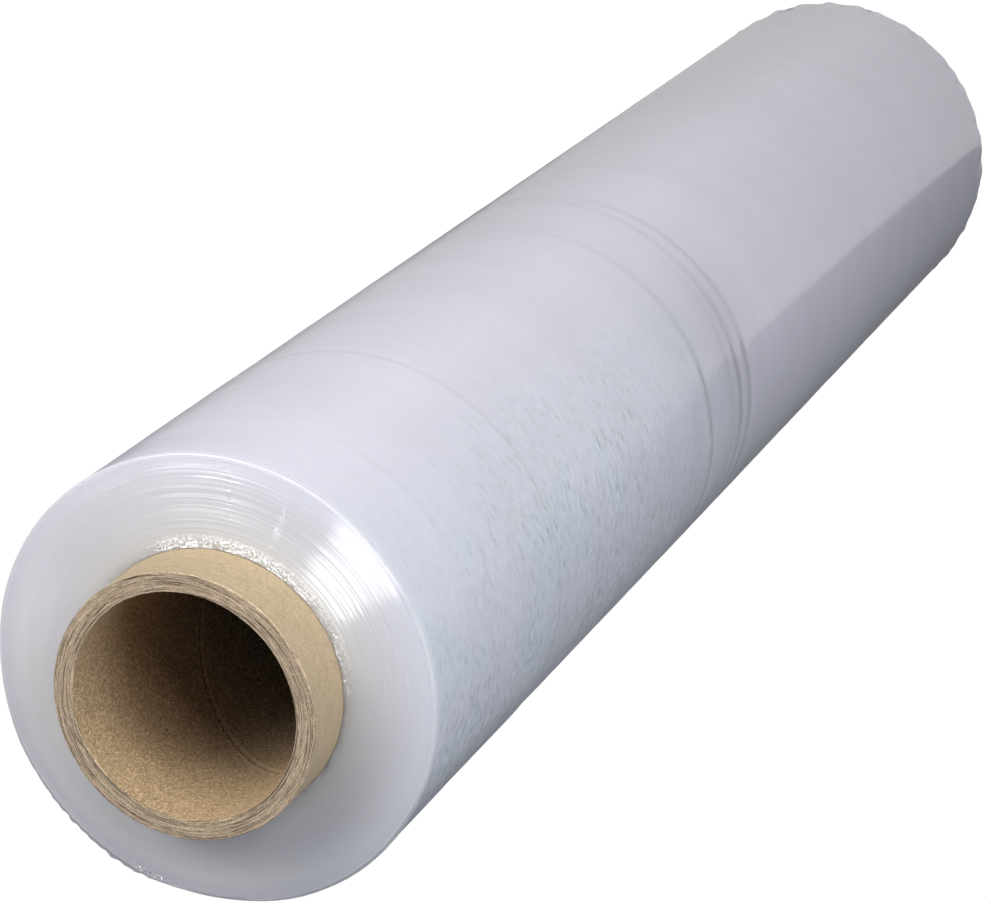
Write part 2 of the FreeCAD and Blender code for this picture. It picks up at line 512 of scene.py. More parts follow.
def make_core(materials):
    rng = np.random.default_rng(77)
    top_angle = core_columns()
    columns = len(top_angle)
    break_ = 0.3 * MM
    rows = []  # radius, height, surface

    # bore, from the lower end up
    heights = np.concatenate(
        [
            np.linspace(CORE_BOTTOM + break_, CORE_TOP - 96 * MM, 160),
            np.linspace(CORE_TOP - 94 * MM, CORE_TOP - 2.4 * MM, 44),
            CORE_TOP - np.array([1.5, 0.9, 0.55]) * MM,
        ]
    )
    rows += [(BORE_R, h, "bore") for h in heights]
    # softened inner edge, cut end, softened outer edge
    rows += [
        (BORE_R + 0.02 * MM, CORE_TOP - 0.30 * MM, "edge"),
        (BORE_R + 0.09 * MM, CORE_TOP - 0.12 * MM, "edge"),
    ]
    wall = (CORE_R - BORE_R) / MM
    cut = np.concatenate(
        [
            np.arange(0.20, 0.66, 0.065),
            np.arange(0.72, wall - 0.2, 0.105),
        ]
    )
    rows += [(BORE_R + w * MM, CORE_TOP, "cut") for w in cut]
    rows += [
        (CORE_R - 0.10 * MM, CORE_TOP - 0.05 * MM, "edge"),
        (CORE_R - 0.02 * MM, CORE_TOP - 0.22 * MM, "edge"),
    ]
    # outside, down to the lower end
    down = np.concatenate(
        [
            [0.5, 0.9],
            np.arange(1.6, 16.5, 1.05),
            np.linspace(19, 511, 96),
            np.arange(514.0, 529.0, 1.5),
            [529.4],
        ]
    )
    rows += [(CORE_R, CORE_TOP - d * MM, "outside") for d in down]
    rows += [(CORE_R - 0.09 * MM, CORE_BOTTOM + 0.07 * MM, "edge_low")]
    low_cut = np.linspace(wall - 0.3, 0.25, 20)
    rows += [(BORE_R + w * MM, CORE_BOTTOM, "cut_low") for w in low_cut]
    rows += [(BORE_R + 0.08 * MM, CORE_BOTTOM + 0.10 * MM, "edge_low")]

    r0 = np.array([q[0] for q in rows])[:, None]
    z0 = np.array([q[1] for q in rows])[:, None]
    zone = np.array([q[2] for q in rows])
    is_in = lambda *names: np.isin(zone, names)[:, None]

    depth = CORE_TOP - z0
    angle = top_angle[None, :] - depth / LEAD  # every column follows the plies
    a = np.radians(angle)
    R = np.repeat(r0, columns, 1)
    Z = np.repeat(z0, columns, 1)

    # bore: the edge of the innermost ply stands up beside a narrow gap
    away = (top_angle - SEAM_TOP)[None, :]
    inside = -0.10 * step(-4.4, -1.2, away) * (away < -0.2)
    inside = inside + 0.30 * bell(away - 0.15, 0.5)  # the gap, cut outwards
    inside = inside - 0.05 * bell(away - 4.3, 0.9)
    inside = inside + 0.035 * waves(rng, a, z0 / MM, (14, 80), 3, 14)
    inside = inside + 0.018 * waves(rng, a, z0 / MM, (3, 9), 14, 20)
    R = R + np.where(is_in("bore"), inside, 0) * MM

    # outside: smoother, with its own seam
    away2 = (top_angle - OUTER_SEAM_TOP)[None, :]
    outside = -0.13 * bell(away2, 0.28) + 0.02 * waves(rng, a, z0 / MM, (10, 60), 3, 12) - 0.03
    hidden = (z0 < FILM_TOP - 1.5 * MM) & (z0 > FILM_BOTTOM + 1.5 * MM)
    outside = np.where(hidden, np.minimum(outside, -0.02), outside)
    R = R + np.where(is_in("outside"), outside, 0) * MM

    # cut ends: plies part a little from each other and fibres stand up
    across = (r0 - BORE_R) / MM
    swirl = 0.10 * ripple(rng, a, 2, 7, 8)
    ply = 0.44
    relief = np.zeros_like(R)
    for k in range(1, 10):
        line = k * ply + swirl + 0.05 * ripple(rng, a, 8, 40, 10)
        strong = np.clip(0.35 + 0.5 * ripple(rng, a, 2, 14, 8), 0.05, 1.0)
        relief = relief - 0.13 * strong * bell(across - line, 0.085)
    relief = relief + 0.028 * waves(rng, a, across, (0.3, 1.2), 90, 60)
    relief = relief + 0.025 * waves(rng, a, across, (1.5, 6.0), 12, 20)
    degrees = np.degrees(np.mod(a + np.pi, 2 * np.pi) - np.pi)
    radius_mm = r0 / MM
    for points, width, deep in CRACKS:
        px = np.array([p[0] for p in points])
        pr = np.array([p[1] for p in points])
        order = np.argsort(px)
        px, pr = px[order], pr[order]
        centre = np.interp(degrees, px, pr)
        fade = step(px[0] - 1.6, px[0] + 0.4, degrees) * step(px[-1] + 1.6, px[-1] - 0.4, degrees)
        relief = relief - deep * fade * bell(radius_mm - centre, width)
    # the innermost ply has come away from the rest below the seam
    gap_at = around(degrees, [-180, -170, -160, -150, -140, 150, 160, 170], [25.72, 25.72, 25.74, 25.76, 25.80, 25.62, 25.64, 25.68])
    gap_fade = np.where(
        degrees < 0, step(-136.0, -139.0, degrees), step(158.0, 172.0, degrees)
    )
    relief = relief - 1.1 * gap_fade * bell(radius_mm - gap_at, 0.085)
    R = R + np.where(is_in("cut", "edge"), 0.0, 0.0)
    Z = Z + np.where(is_in("cut"), relief, 0) * MM
    # its end is a small notch in the inner edge
    notch = step(-131.0, -135.2, degrees) * step(-137.2, -135.8, degrees)
    notch_rows = is_in("bore") & (depth < 3.0 * MM)
    R = R + np.where(notch_rows | is_in("edge") & (across < 1.0), 0.30 * notch * step(3.0, 0.3, depth / MM), 0) * MM
    fray = 0.03 * ripple(rng, a, 30, 120, 24) + 0.03 * ripple(rng, a, 5, 20, 8)
    R = R + np.where(is_in("edge"), fray, 0) * MM
    Z = Z + np.where(is_in("edge"), 0.04 * ripple(rng, a, 20, 90, 20), 0) * MM

    lower = np.zeros_like(R)
    for k in range(1, 10):
        line = k * ply + 0.1 * ripple(rng, a, 2, 7, 8)
        lower = lower - 0.07 * np.clip(0.35 + 0.5 * ripple(rng, a, 2, 14, 8), 0.05, 1.0) * bell(across - line, 0.1)
    lower = np.minimum(lower, 0)
    Z = Z - np.where(is_in("cut_low"), lower, 0) * MM

    Z = np.clip(Z, CORE_BOTTOM, CORE_TOP)
    points = np.stack([R * np.cos(a), R * np.sin(a), Z], -1)
    owner = []
    for where in zone:
        owner.append({"bore": 0, "edge": 1, "cut": 1, "outside": 2, "edge_low": 1, "cut_low": 1}[where])
    return closed_mesh("cardboard_core", points, materials, owner), len(rows) * columns * 2


# ------------------------------------------------------------ film: materials
def film_side():
    material, n = new_material("film_side")
    vector, x, y, z, r, angle = n.place()
    depth = n.times(n.math("SUBTRACT", FILM_TOP, z), 1000.0)
    t = n.math("FLOORED_MODULO", n.math("SUBTRACT", -6.8, angle), 360.0)

    streak = n.noise(n.vector(n.times(x, 34.0), n.times(y, 34.0), n.times(z, 620.0)), detail=3.0, rough=0.6)
    broad = n.noise(n.vector(n.times(x, 9.0), n.times(y, 9.0), n.times(z, 46.0)), detail=2.0)
    cloud = n.noise(vector, scale=26.0, detail=3.0)

    # air caught under the last turns: short dimples along the turn
    near = n.ramp(depth, 245.0, 110.0)
    dense = n.times(n.ramp(t, 58.0, 98.0), n.ramp(t, 335.0, 200.0))
    patch = n.ramp(n.noise(vector, scale=24.0, detail=3.0), 0.28, 0.62)
    spread = n.times(near, n.sum(0.05, n.times(dense, 0.95)), n.sum(0.4, n.times(patch, 0.6)))
    grain = n.vector(n.times(x, 300.0), n.times(y, 300.0), n.times(z, 640.0))
    dimple = n.times(n.ramp(n.noise(grain, detail=1.0), 0.38, 0.64), spread)
    facet = n.add("ShaderNodeSeparateXYZ", {"Vector": n.scatter(grain, 1.35, 1.5)}).outputs

    # colour: cool near-white, a little darker towards the far end, greyer along the creases: partly haze in the folded
    # film, partly painted shade
    base = n.colour(n.ramp(depth, 0.0, 480.0, smooth=False), (0.733, 0.719, 0.797, 1), (0.712, 0.690, 0.748, 1))
    # a bluish tint on the blistered side near the upper end: partly the film's own mottling, partly a painted
    # reflection of cool surroundings
    cool = n.times(near, dense, n.ramp(n.noise(vector, scale=48.0, detail=2.0), 0.35, 0.6, 0.35, 1.0))
    base = n.colour(cool, base, (0.695, 0.724, 0.782, 1))
    shade = n.sum(
        1.0,
        n.times(n.math("SUBTRACT", streak, 0.5), 0.045),
        n.times(n.math("SUBTRACT", broad, 0.5), 0.10),
        n.times(n.math("SUBTRACT", cloud, 0.5), n.sum(0.05, n.times(spread, 0.07))),
        n.times(dimple, -0.035),
        n.times(facet[2], spread, 0.16),
        # painted shade on the rounded upper edge, to damp its highlight
        n.ramp(depth, 1.8, 0.9, 0.0, -0.07),
        # painted shade: a dark line along the rounded upper edge, on the side away from the lights
        n.times(n.ramp(depth, 0.9, 0.35), n.bell(angle, 98.0, 27.0), -0.36),
        # painted shade between the long and the first crease, where the reflected backdrop fades
        n.times(n.bell(depth, 207.0, 32.0), n.ramp(t, 68.0, 96.0), n.ramp(t, 132.0, 108.0), -0.10),
        # painted shade around the second and third creases, on the side where the reflection fades
        n.times(n.bell(depth, 222.0, 8.5), n.ramp(t, 76.0, 104.0), n.ramp(t, 156.0, 124.0), -0.085),
        # painted shade: a slightly darker band all along the roll on one side, evening out the lighting
        n.times(n.ramp(t, 52.0, 74.0), n.ramp(t, 114.0, 98.0), -0.05),
        # painted shade on the side turned away from the lights, stronger near the upper end
        n.times(n.ramp(t, 144.0, 158.0), n.ramp(t, 215.0, 180.0), n.ramp(depth, 95.0, 45.0, -0.10, -0.22)),
        # painted shade on the far half, below the edge of the reflected backdrop
        n.times(n.ramp(depth, 330.0, 430.0), n.ramp(t, 104.0, 113.0), n.ramp(t, 190.0, 150.0), -0.055),
    )
    ragged = n.noise(n.vector(n.times(x, 160.0), n.times(y, 160.0), n.times(z, 220.0)), detail=2.0)
    # greyer along each crease: partly haze in the folded film, partly painted shade
    for name, width, dark in (("long", 2.6, -0.10), ("first", 1.9, -0.05), ("second", 2.0, -0.12), ("third", 2.0, -0.10)):
        knots, where, strength = CREASES[name]
        curve = n.add("ShaderNodeFloatCurve", {"Value": n.math("DIVIDE", t, 360.0)})
        line_curve(curve, knots, where, 180.0, 240.0)
        power = n.add("ShaderNodeFloatCurve", {"Value": n.math("DIVIDE", t, 360.0)})
        line_curve(power, knots, strength, 0.0, 1.0)
        centre = n.sum(n.times(curve.outputs[0], 60.0), 180.0)
        mark = n.bell(depth, centre, width)
        shade = n.sum(shade, n.times(mark, power.outputs[0], n.ramp(ragged, 0.25, 0.75, 0.55, 1.40), dark))
    # darker along the lap and a faint line near the upper end: partly the film's edge, partly painted shade
    lap = n.bell(depth, 78.9, 0.7)
    shade = n.sum(shade, n.times(lap, n.ramp(ragged, 0.2, 0.6, 0.4, 1.0), -0.055))
    shade = n.sum(shade, n.times(n.bell(depth, 27.0, 1.0), n.ramp(cloud, 0.4, 0.65), -0.03))
    base = n.colour(1.0, base, n.grey(shade), "MULTIPLY")

    rough = n.sum(
        n.ramp(depth, 240.0, 140.0, 0.13, 0.205),
        n.ramp(depth, 2.2, 0.9, 0.0, 0.22),
        n.times(spread, 0.02),
        n.times(n.math("SUBTRACT", broad, 0.5), 0.07),
    )
    around_way = n.vector(n.math("DIVIDE", n.times(y, -1.0), r), n.math("DIVIDE", x, r), 0.0)
    normal = n.add("ShaderNodeNewGeometry").outputs["Normal"]
    normal = n.tilt(normal, (0.0, 0.0, 1.0), n.sum(
        n.times(facet[0], n.sum(dimple, n.times(spread, 0.35)), 0.82),
        n.times(n.math("SUBTRACT", streak, 0.5), 0.035),
    ))
    normal = n.tilt(normal, around_way, n.times(facet[1], n.sum(dimple, n.times(spread, 0.35)), 0.70))
    close_shader(
        n,
        {
            "Base Color": base,
            "Roughness": rough,
            "IOR": 1.5,
            "Specular IOR Level": 0.5,
            "Subsurface Weight": 0.55,
            "Subsurface Radius": (1.0, 1.0, 1.1),
            "Subsurface Scale": 0.009,
            "Coat Weight": 0.0,
            "Normal": normal,
        },
    )
    return material


def line_curve(node, knots, values, low, high):
    """Sets a curve over the whole turn to values, which run from low to high."""
    curve = node.mapping.curves[0]
    fine = np.linspace(0, 360, 25)
    heights = (around(fine, knots, values) - low) / (high - low)
    points = curve.points
    points[0].location = (0.0, float(heights[0]))
    points[-1].location = (1.0, float(heights[-1]))
    for a, h in zip(fine[1:-1], heights[1:-1]):
        points.new(float(a / 360.0), float(h))
    node.mapping.update()


LEAN = 0.12  # how far the turns' edges lean outwards
GLINT_LINES = ((-50.0, 6.0, 18.5), (-67.0, 4.5, 14.5), (-102.5, 4.5, 7.0))  # angle, and reach in mm out from the core


def film_end():
    material, n = new_material("film_end")
    vector, x, y, z, r, angle = n.place()
    out = n.times(n.math("SUBTRACT", r, CORE_R), 1000.0)  # mm out from the core

    ring = n.noise(n.vector(n.times(x, 14.0), n.times(y, 14.0), n.times(r, 3700.0)), detail=1.0, rough=0.5)
    ring_wide = n.noise(n.vector(n.times(x, 9.0), n.times(y, 9.0), n.times(r, 420.0)), detail=2.0)
    dot = n.noise(vector, scale=2500.0, detail=1.0)
    crumple = n.noise(n.vector(n.times(x, 700.0), n.times(y, 700.0), n.times(r, 900.0)), detail=2.0, rough=0.6)
    close = n.ramp(out, 3.0, 0.5)

    # the side where the lights show up the turns' edges: the upper half as photographed. The rings are painted into the
    # colour more strongly there, as painted light and shade
    lit_ring_side = n.ramp(n.math("ABSOLUTE", n.sum(angle, 68.0)), 78.0, 42.0, 0.25, 1.0)
    group = n.noise(n.vector(n.times(x, 4.0), n.times(y, 4.0), n.times(r, 900.0)), detail=3.0, rough=0.8)
    # short lines where a few turns lean out further and catch the light; their brightening in the colour is a painted
    # highlight
    dash = n.noise(n.vector(n.times(x, 42.0), n.times(y, 42.0), n.times(r, 1700.0)), detail=2.0, rough=0.5)
    dash = n.times(n.ramp(dash, 0.60, 0.74), n.ramp(out, 4.5, 8.0), n.ramp(out, 20.6, 19.6))
    # tiny creases that glint, beside the core and in thin lines out from it: through the coat, and through painted
    # glints in the colour
    wander = n.times(n.math("SUBTRACT", n.noise(n.vector(0.0, 0.0, n.times(r, 260.0)), detail=2.0), 0.5), 9.0)
    glint = n.times(n.ramp(out, 4.4, 0.9), n.ramp(n.math("ABSOLUTE", n.sum(angle, 72.0)), 72.0, 40.0, 0.12, 1.0))
    for where, low_out, high_out in GLINT_LINES:
        line = n.bell(n.sum(angle, wander), where, 1.5)
        glint = n.sum(glint, n.times(line, n.ramp(out, low_out - 1.0, low_out + 0.5), n.ramp(out, high_out + 1.0, high_out - 0.5), 0.42))
    crinkle = n.times(n.bell(angle, 117.5, 6.5), n.ramp(out, 18.3, 19.2))
    glint = n.math("MINIMUM", n.sum(glint, crinkle), 1.0)
    open_part = n.ramp(n.math("ABSOLUTE", n.sum(angle, 93.0)), 8.0, 20.0, 0.75, 1.0)

    warm = n.colour(n.ramp(out, 0.0, 7.5), (0.765, 0.76, 0.775, 1), (0.755, 0.753, 0.782, 1))
    base = n.colour(n.ramp(out, 6.0, 17.5), warm, (0.765, 0.768, 0.815, 1))
    base = n.colour(n.ramp(out, 17.6, 18.4), base, (0.748, 0.748, 0.828, 1))
    # painted light: the end is lighter down the left side as photographed, standing in for light that comes through the
    # roll
    pale = n.ramp(n.math("COSINE", n.times(n.sum(angle, -96.0), math.pi / 180)), -0.15, 0.70)
    base = n.colour(n.times(pale, n.ramp(out, 6.0, 12.0, 0.75, 1.0), n.ramp(out, 19.4, 15.0, 0.12, 1.0)), base, (0.91, 0.914, 1.0, 1))
    shade = n.sum(
        1.0,
        # painted glints where the film is creased: bright dots are painted highlights, grey dots painted shade
        n.times(glint, n.ramp(dot, 0.56, 0.64), 0.17),
        n.times(glint, n.ramp(dot, 0.46, 0.37), -0.12),
        # ring lines painted into the colour on the lit side: painted light and shade
        n.times(n.math("SUBTRACT", ring, 0.5), lit_ring_side, 0.06),
        n.times(n.math("SUBTRACT", ring_wide, 0.5), 0.04),
        n.times(n.math("SUBTRACT", crumple, 0.5), close, 0.08),
        # painted highlight on the short lines, on the lit side
        n.times(dash, lit_ring_side, 0.05),
        n.times(n.bell(out, 19.6, 0.22), -0.06),
        # painted glints on the crinkled rim: bright dots are painted highlights, dark dots painted shade
        n.times(crinkle, n.ramp(dot, 0.53, 0.62), 0.22),
        n.times(crinkle, n.ramp(dot, 0.48, 0.40), -0.26),
        # painted shade: a dark line along the very rim on the side away from the lights
        n.times(n.ramp(out, 20.2, 20.5), n.bell(angle, 98.0, 27.0), -0.42),
    )
    base = n.colour(1.0, base, n.grey(shade), "MULTIPLY")
    rough = n.sum(0.135, n.times(n.math("SUBTRACT", ring_wide, 0.5), 0.04))

    # the turns' edges all lean outwards, each by its own amount
    away = n.vector(n.math("DIVIDE", x, r), n.math("DIVIDE", y, r), 0.0)
    slope = n.sum(
        n.times(n.ramp(out, 19.4, 17.8), LEAN),
        n.times(n.math("SUBTRACT", ring, 0.5), lit_ring_side, 0.47),
        n.times(n.math("SUBTRACT", ring_wide, 0.5), lit_ring_side, 0.07),
        n.times(dash, lit_ring_side, 0.19),
    )
    normal = n.tilt(n.add("ShaderNodeNewGeometry").outputs["Normal"], away, slope)
    around_way = n.vector(n.math("DIVIDE", n.times(y, -1.0), r), n.math("DIVIDE", x, r), 0.0)
    normal = n.tilt(normal, around_way, n.times(n.math("SUBTRACT", group, 0.5), 0.05))
    normal = n.tilt(normal, n.scatter(vector, 1150.0), n.times(close, 0.20))
    fleck = n.scatter(vector, 2500.0)
    creased = n.tilt(normal, fleck, n.times(glint, 2.6))
    normal = n.tilt(normal, fleck, n.times(glint, open_part, 0.72))
    tangent = n.add("ShaderNodeTangent", direction_type="RADIAL", axis="Z").outputs[0]
    close_shader(
        n,
        {
            "Base Color": base,
            "Roughness": rough,
            "IOR": 1.5,
            "Specular IOR Level": 0.5,
            "Anisotropic": 0.95,
            "Anisotropic Rotation": 0.25,
            "Subsurface Weight": 0.75,
            "Subsurface Radius": (1.0, 1.0, 1.1),
            "Subsurface Scale": 0.012,
            "Coat Weight": n.times(glint, open_part, 0.85),
            "Coat Roughness": 0.10,
            "Coat IOR": 2.0,
            "Coat Normal": creased,
            "Normal": normal,
            "Tangent": tangent,
        },
    )
    return material


# ------------------------------------------------------------ core: materials
def fibres(n, vector, scale):
    """Paper: clouds of pulp, short fibres and a few specks, each about 0..1."""
    pulp = n.noise(vector, scale=scale * 0.2, detail=3.0, rough=0.6)
    fibre = n.noise(vector, scale=scale, detail=2.0, rough=0.7, bend=1.0)
    speck = n.ramp(n.noise(vector, scale=scale * 0.9, detail=2.0, rough=0.6), 0.68, 0.78)
    return pulp, fibre, speck


def board_outside():
    material, n = new_material("kraft_outside")
    vector, x, y, z, r, angle = n.place()
    stretched = n.vector(x, y, n.times(z, 1.6))
    pulp, fibre, speck = fibres(n, stretched, 2000.0)
    line = n.noise(n.vector(n.times(x, 60.0), n.times(y, 60.0), n.times(z, 1900.0)), detail=2.0)
    shade = n.sum(
        1.0,
        n.times(n.math("SUBTRACT", pulp, 0.5), 0.16),
        n.times(n.math("SUBTRACT", fibre, 0.5), 1.2),
        n.times(n.math("SUBTRACT", line, 0.5), 0.28),
        n.times(speck, -0.10),
    )
    base = n.colour(pulp, (0.455, 0.349, 0.216, 1), (0.49, 0.382, 0.244, 1))
    base = n.colour(1.0, base, n.grey(shade), "MULTIPLY")
    normal = n.bump(fibre, 0.05 * MM, 0.6)
    close_shader(
        n,
        {
            "Base Color": base,
            "Roughness": n.sum(0.62, n.times(fibre, 0.2)),
            "IOR": 1.45,
            "Specular IOR Level": 0.35,
            "Normal": normal,
        },
    )
    return material


def board_cut():
    material, n = new_material("kraft_cut_end")
    vector, x, y, z, r, angle = n.place()
    across = n.times(n.math("SUBTRACT", r, BORE_R), 1000.0)
    ply = n.noise(n.vector(n.times(x, 90.0), n.times(y, 90.0), n.times(r, 4500.0)), detail=1.0, rough=0.6)
    dash = n.noise(n.vector(n.times(x, 520.0), n.times(y, 520.0), n.times(r, 6200.0)), detail=1.0, rough=0.6)
    pulp = n.noise(vector, scale=420.0, detail=3.0, rough=0.6)
    grain = n.noise(vector, scale=3300.0, detail=1.0, rough=0.6)
    part = n.times(n.ramp(ply, 0.47, 0.38), n.ramp(grain, 0.35, 0.6, 0.35, 1.0))
    liner = n.sum(n.ramp(across, 0.42, 0.12), n.ramp(across, 4.12, 4.34))
    shade = n.sum(
        1.0,
        n.times(n.math("SUBTRACT", ply, 0.5), 1.4),
        n.times(n.math("SUBTRACT", dash, 0.5), 1.45),
        n.times(n.math("SUBTRACT", pulp, 0.5), 0.3),
        n.times(n.math("SUBTRACT", grain, 0.5), 1.8),
        n.times(part, -0.42),
        n.times(n.bell(across, 0.50, 0.09), n.ramp(pulp, 0.40, 0.55), -0.45),
    )
    base = n.colour(pulp, (0.482, 0.365, 0.25, 1), (0.545, 0.413, 0.283, 1))
    base = n.colour(n.math("MINIMUM", n.times(liner, 0.55), 1.0), base, (0.56, 0.44, 0.285, 1))
    base = n.colour(n.times(n.ramp(dash, 0.50, 0.68), 0.40), base, (0.575, 0.48, 0.355, 1))
    base = n.colour(1.0, base, n.grey(shade), "MULTIPLY")
    normal = n.bump(dash, 0.10 * MM, 0.8)
    normal = n.bump(grain, 0.05 * MM, 0.5, normal)
    close_shader(
        n,
        {
            "Base Color": base,
            "Roughness": n.sum(0.82, n.times(dash, 0.12)),
            "IOR": 1.45,
            "Specular IOR Level": 0.25,
            "Normal": normal,
        },
    )
    return material


def board_bore():
    material, n = new_material("kraft_bore")
    vector, x, y, z, r, angle = n.place()
    pulp, fibre, speck = fibres(n, vector, 1900.0)
    # the seam: painted shade in the gap, painted light along the raised edge below it and along a second edge beside it
    turn = n.sum(angle, n.times(n.math("SUBTRACT", CORE_TOP, z), 1.0 / LEAD), -SEAM_TOP)
    away = n.math("SUBTRACT", n.math("FLOORED_MODULO", n.sum(turn, 180.0), 360.0), 180.0)
    gap = n.bell(away, 0.1, 0.75)
    lip_light = n.bell(away, -1.6, 0.9)
    second = n.bell(away, 4.3, 0.75)
    shade = n.sum(
        1.0,
        n.times(n.math("SUBTRACT", pulp, 0.5), 0.12),
        n.times(n.math("SUBTRACT", fibre, 0.5), 2.9),
        n.times(speck, -0.30),
        # painted shade: darker deeper down the bore
        n.ramp(n.math("SUBTRACT", CORE_TOP, z), 0.020, 0.090, 0.04, -0.45),
        n.ramp(n.math("SUBTRACT", CORE_TOP, z), 0.085, 0.26, 0.0, -0.22),
        # painted shade: darker on one side of the bore
        n.times(n.ramp(n.math("COSINE", n.times(n.sum(angle, -10.0), math.pi / 180)), 0.0, 1.0), -0.08),
        # painted shade in the seam's gap, painted light on its edges
        n.times(gap, -0.85),
        n.times(lip_light, 0.18),
        n.times(second, 0.55),
    )
    base = n.colour(pulp, (0.443, 0.307, 0.170, 1), (0.508, 0.367, 0.216, 1))
    base = n.colour(n.times(n.ramp(fibre, 0.50, 0.62), 0.30), base, (0.575, 0.46, 0.325, 1))
    base = n.colour(1.0, base, n.grey(shade), "MULTIPLY")
    normal = n.bump(fibre, 0.09 * MM, 0.8)
    close_shader(
        n,
        {
            "Base Color": base,
            "Roughness": n.sum(0.72, n.times(fibre, 0.2)),
            "IOR": 1.45,
            "Specular IOR Level": 0.25,
            "Normal": normal,
        },
    )
    return material


# ------------------------------------------------------------------- pieces
film, film_triangles = make_film([film_side(), film_end()])
core, core_triangles = make_core([board_bore(), board_cut(), board_outside()])
for piece, triangles in ((film, film_triangles), (core, core_triangles)):
    if triangles > 200000:
        raise RuntimeError("%s has %d triangles" % (piece.name, triangles))

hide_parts("film_winding")
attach(film, "root")
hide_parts("core_tube")
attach(core, "root")

# -------------------------------------------------------------------- lights
# The roll was photographed lying down. UP is the way that was up then, RIGHT
# the way that was right of it, both across the roll; NEAR is along its axis.
UP = Vector((0.7235, -0.690, 0.0)).normalized()
RIGHT = Vector((-0.690, -0.7235, 0.0)).normalized()
NEAR = Vector((0.0, 0.0, 1.0))


def spot(up, right, near):
    return UP * up + RIGHT * right + NEAR * near


def hide_from(thing, **kinds):
    for kind in kinds:
        setattr(thing, "visible_" + kind, kinds[kind])


def softbox(name, centre, target, width, height, power, colour=(1, 1, 1)):
    light = bpy.data.lights.new(name, "AREA")
    light.shape = "RECTANGLE"
    light.size, light.size_y = width, height
    light.energy = power
    light.color = colour
    thing = bpy.data.objects.new(name, light)
    thing.location = centre
    aim = Vector(target) - Vector(centre)
    thing.rotation_mode = "QUATERNION"
    thing.rotation_quaternion = aim.to_track_quat("-Z", "Y")
    thing.visible_camera = False
    bpy.context.scene.collection.objects.link(thing)
    return thing


MIDDLE = Vector((0, 0, 0.42))
softbox("right_high", spot(0.55, 0.62, 0.95), MIDDLE, 0.45, 0.45, 3.1)
softbox("overhead", spot(0.85, 0.05, 0.72), MIDDLE, 0.6, 0.6, 1.5)
softbox("high", spot(0.95, 0.0, 0.95), MIDDLE, 0.4, 0.4, 2.0, (1.0, 0.985, 0.95))
softbox("left_near", spot(0.60, -0.35, 1.15), MIDDLE, 0.4, 0.4, 2.6)
softbox("left_high", spot(0.50, -0.60, 0.95), MIDDLE, 0.45, 0.45, 1.6)
softbox("right", spot(0.10, 0.88, 0.75), MIDDLE, 0.45, 0.45, 2.6, (0.91, 0.99, 1.08))
softbox("far", spot(0.9, 0.1, -0.05), Vector((0, 0, 0.1)), 0.6, 0.6, 0.52)
# fills the side turned away from the camera
softbox("behind", spot(-0.62, -0.62, 0.30), Vector((0, 0, 0.25)), 0.6, 0.6, 2.8)


def card(name, points, strength, colour=(1, 1, 1), shape=None):
    """A flat bright card that only shows in reflections."""
    mesh = bpy.data.meshes.new(name)
    mesh.from_pydata([tuple(p) for p in points], [], [tuple(range(len(points)))])
    mesh.update()
    material, n = new_material(name)
    emission = n.add("ShaderNodeEmission", {"Color": (*colour, 1), "Strength": strength})
    if shape is not None:
        n.put(emission.inputs["Strength"], shape(n))
    out = n.add("ShaderNodeOutputMaterial")
    n.tree.links.new(emission.outputs[0], out.inputs["Surface"])
    mesh.materials.append(material)
    thing = bpy.data.objects.new(name, mesh)
    bpy.context.scene.collection.objects.link(thing)
    hide_from(thing, camera=False, diffuse=False, transmission=False, volume_scatter=False, shadow=False)
    return thing


def fan(apex, start, end, reach, parts=12):
    """A flat sector lying level, from its apex out over those angles."""
    a = np.radians(np.linspace(start, end, parts))
    return [Vector(apex)] + [
        Vector((apex[0] + reach * math.cos(q), apex[1] + reach * math.sin(q), apex[2])) for q in a
    ]


def polar(n, apex):
    """Distance from the apex and angle about it, on a level card."""
    vector = n.add("ShaderNodeTexCoord").outputs["Object"]
    split = n.add("ShaderNodeSeparateXYZ", {"Vector": vector}).outputs
    x = n.math("SUBTRACT", split[0], apex[0])
    y = n.math("SUBTRACT", split[1], apex[1])
    reach = n.math("SQRT", n.sum(n.times(x, x), n.times(y, y)))
    return reach, n.times(n.math("ARCTAN2", y, x), 180 / math.pi)


# a strip seen in the turns' edges as one bright wedge, and a dimmer, softer one
WEDGE = (0.0, 0.453, 1.3835)
SOFT = (0.0615, 0.473, 1.377)


def wedge_fan(n):
    reach, a = polar(n, WEDGE)
    return n.ramp(reach, 0.0, 0.50, 7.5, 12.5)


def soft_fan(n):
    reach, a = polar(n, SOFT)
    return n.times(n.ramp(a, -74.0, -52.0), n.ramp(a, -20.0, -31.0), n.ramp(reach, 0.22, 0.78), 18.5)


card("wedge_card", fan(WEDGE, -104.0, -80.5, 1.0), 1.0, shape=wedge_fan)
card("soft_card", fan(SOFT, -76.0, -24.0, 1.0), 1.0, shape=soft_fan)

# The backdrop behind the table and the table's shaded top, mirrored along the
# side at a low angle. They meet just below the roll's axis.
EDGE, BEHIND = -0.0505, -0.34


def backdrop_glow(n):
    vector = n.add("ShaderNodeTexCoord").outputs["Object"]
    side = n.add("ShaderNodeVectorMath", {0: vector, 1: tuple(RIGHT)}, operation="DOT_PRODUCT")
    return n.ramp(side.outputs["Value"], -0.35, 0.05, 0.46, 0.64)


